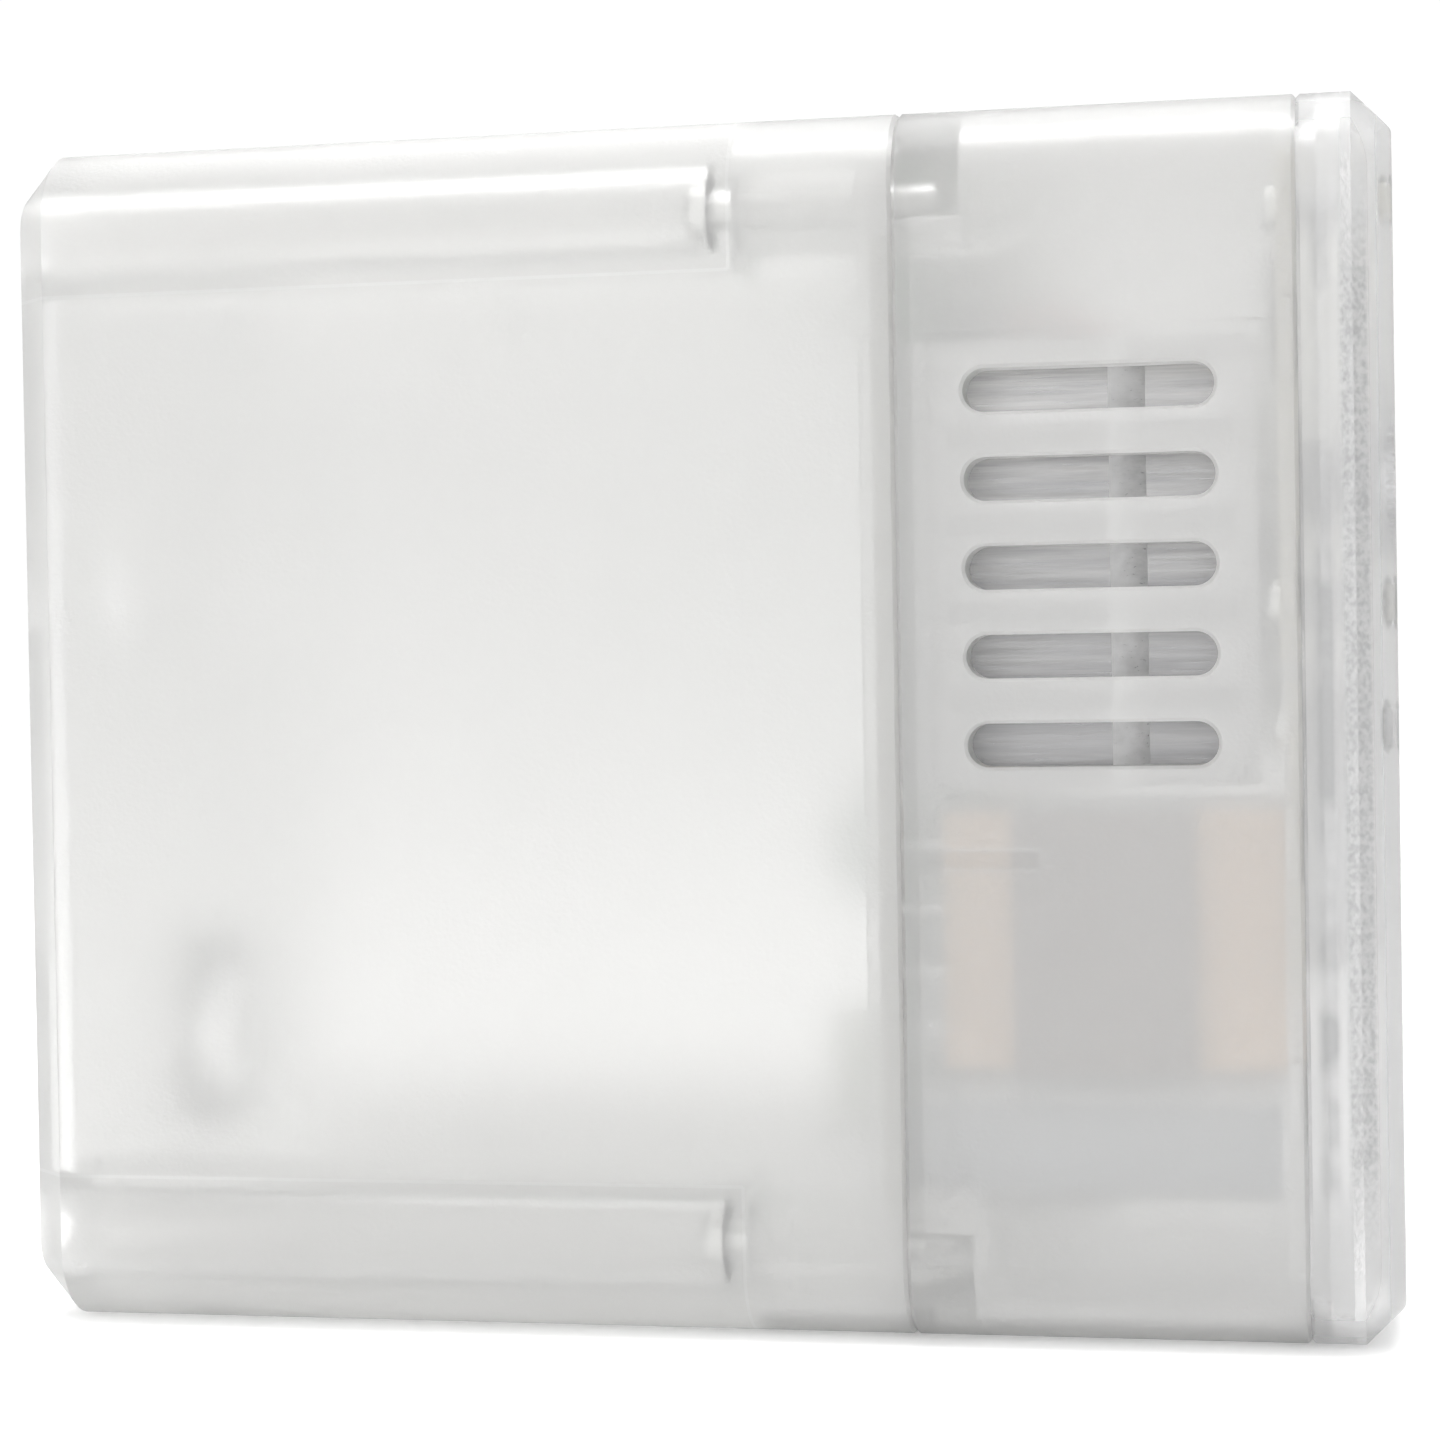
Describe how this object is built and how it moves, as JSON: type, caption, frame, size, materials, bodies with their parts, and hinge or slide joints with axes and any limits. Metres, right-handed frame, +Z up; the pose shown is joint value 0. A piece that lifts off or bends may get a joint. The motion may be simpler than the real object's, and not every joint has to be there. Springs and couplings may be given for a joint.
{
  "type": "garage door opener controller",
  "caption": "Frosted garage door opener control box with side vents, a bevelled front cover, learn button, siren switch, door relay, transformer and radio board.",
  "frame": {"origin": "centre of the case's base", "axes": "+X from the rear (wall) face to the front cover, +Z up, +Y to the right seen from the front"},
  "size_m": [0.1106, 0.076, 0.096],
  "materials": {
    "frosted_case": "frosted translucent moulding, fine pebble",
    "clear_cover": "clear moulding with a pebbled inner face",
    "zinc_screw": "zinc plated",
    "grey_rubber": "soft matte",
    "board_green": "solder mask over glass laminate",
    "board_yellow": "bare glass laminate edge with pale mask",
    "core_steel": "varnished laminations",
    "bobbin_tan": "tan moulded bobbin",
    "winding_tape": "polyester tape over enamelled wire",
    "tinned_pin": "tinned",
    "relay_black": "moulded base",
    "relay_smoke": "smoked cover",
    "soft_iron": "nickel plated iron",
    "copper_wire": "enamelled copper winding",
    "contact_bronze": "phosphor bronze leaf",
    "capacitor_sleeve": "shrink sleeve",
    "chip_black": "moulded epoxy",
    "baffle_aluminium": "brushed along its length",
    "siren_black": "moulded case",
    "brass_disc": "satin",
    "fuse_glass": "clear tube",
    "fuse_metal": "nickel plated",
    "header_white": "nylon",
    "terminal_green": "pale grey nylon",
    "reflector_chrome": "vacuum metallised",
    "lamp_resin": "phosphor dome",
    "status_resin": "clear domed lamp",
    "shield_tin": "tinplate can",
    "ribbon_grey": "flat cable insulation",
    "button_grey": "satin moulding",
    "bezel_dark": "smoked ring",
    "lever_white": "moulded"
  },
  "bodies": {
    "case": {"rear_housing": "frosted_case", "vent_housing": "frosted_case", "front_cover": "clear_cover", "case_screws": "zinc_screw", "cable_grommet": "grey_rubber", "main_circuit_board": "board_green", "board_screws": "zinc_screw", "transformer_core": "core_steel", "transformer_bobbin": "bobbin_tan", "primary_winding": "winding_tape", "secondary_winding": "winding_tape", "transformer_pins": "tinned_pin", "relay_base": "relay_black", "relay_cover": "relay_smoke", "relay_yoke": "soft_iron", "relay_coil": "copper_wire", "relay_fixed_contacts": "contact_bronze", "relay_pins": "tinned_pin", "smoothing_capacitors": "capacitor_sleeve", "bridge_rectifier": "chip_black", "voltage_regulator": "chip_black", "regulator_leads": "tinned_pin", "regulator_bolt": "zinc_screw", "vent_baffle_left": "baffle_aluminium", "vent_baffle_right": "baffle_aluminium", "siren_case": "siren_black", "siren_disc": "brass_disc", "fuse_glass": "fuse_glass", "fuse_caps": "fuse_metal", "fuse_clips": "tinned_pin", "mains_header": "header_white", "mains_header_pins": "tinned_pin", "terminal_block": "terminal_green", "terminal_pins": "tinned_pin", "front_circuit_board": "board_yellow", "strobe_circuit_board": "board_yellow", "cover_board_screws": "zinc_screw", "strobe_reflector": "reflector_chrome", "strobe_leds": "lamp_resin", "status_leds": "status_resin", "radio_board": "board_green", "radio_shield": "shield_tin", "controller_chip": "chip_black", "ribbon_sockets": "relay_black", "ribbon_cable": "ribbon_grey", "tact_switch_body": "chip_black", "button_bezel": "bezel_dark", "slide_switch_body": "soft_iron"},
    "armature": {"relay_armature": "soft_iron", "relay_contact_spring": "contact_bronze"},
    "learn_button": {"learn_button": "button_grey"},
    "tact_stem": {"tact_switch_stem": "button_grey"},
    "siren_switch_lever": {"slide_switch_lever": "lever_white"},
    "terminal_screw_1": {"terminal_screw_1": "zinc_screw"},
    "terminal_cage_1": {"terminal_cage_1": "fuse_metal"},
    "terminal_screw_2": {"terminal_screw_2": "zinc_screw"},
    "terminal_cage_2": {"terminal_cage_2": "fuse_metal"},
    "terminal_screw_3": {"terminal_screw_3": "zinc_screw"},
    "terminal_cage_3": {"terminal_cage_3": "fuse_metal"}
  },
  "joints": [
    {"name": "learn_button_press", "type": "slide", "parent": "case", "child": "learn_button", "axis": [-1, 0, 0], "range_m": [0, 0.0003], "stiffness_N_per_m": 3000, "springref_m": -0.0001},
    {"name": "tact_stem_press", "type": "slide", "parent": "case", "child": "tact_stem", "axis": [-1, 0, 0], "range_m": [0, 0.0003]},
    {"name": "siren_switch_slide", "type": "slide", "parent": "case", "child": "siren_switch_lever", "axis": [0, 0, 1], "range_m": [0, 0.0025]},
    {"name": "relay_armature_swing", "type": "hinge", "parent": "case", "child": "armature", "pos_m": [0.02865, -0.008, 0.01365], "axis": [0, 0, -1], "range_deg": [0, 4.5], "stiffness_Nm_per_rad": 0.002, "springref_deg": -5.73},
    {"name": "terminal_screw_1_turn", "type": "hinge", "parent": "case", "child": "terminal_screw_1", "pos_m": [0.00755, 0.00854, 0.036], "axis": [1, 0, 0], "range_deg": [0, 1440]},
    {"name": "terminal_cage_1_rise", "type": "slide", "parent": "case", "child": "terminal_cage_1", "axis": [-1, 0, 0], "range_m": [0, 0.0018]},
    {"name": "terminal_screw_2_turn", "type": "hinge", "parent": "case", "child": "terminal_screw_2", "pos_m": [0.00755, 0.01362, 0.036], "axis": [1, 0, 0], "range_deg": [0, 1440]},
    {"name": "terminal_cage_2_rise", "type": "slide", "parent": "case", "child": "terminal_cage_2", "axis": [-1, 0, 0], "range_m": [0, 0.0018]},
    {"name": "terminal_screw_3_turn", "type": "hinge", "parent": "case", "child": "terminal_screw_3", "pos_m": [0.00755, 0.0187, 0.036], "axis": [1, 0, 0], "range_deg": [0, 1440]},
    {"name": "terminal_cage_3_rise", "type": "slide", "parent": "case", "child": "terminal_cage_3", "axis": [-1, 0, 0], "range_m": [0, 0.0018]}
  ],
  "couplings": [
    {"joint": "tact_stem_press", "follows": "learn_button_press", "ratio": 1},
    {"joint": "terminal_screw_1_turn", "follows": "terminal_cage_1_rise", "rad_per_m": 13962},
    {"joint": "terminal_screw_2_turn", "follows": "terminal_cage_2_rise", "rad_per_m": 13962},
    {"joint": "terminal_screw_3_turn", "follows": "terminal_cage_3_rise", "rad_per_m": 13962}
  ]
}
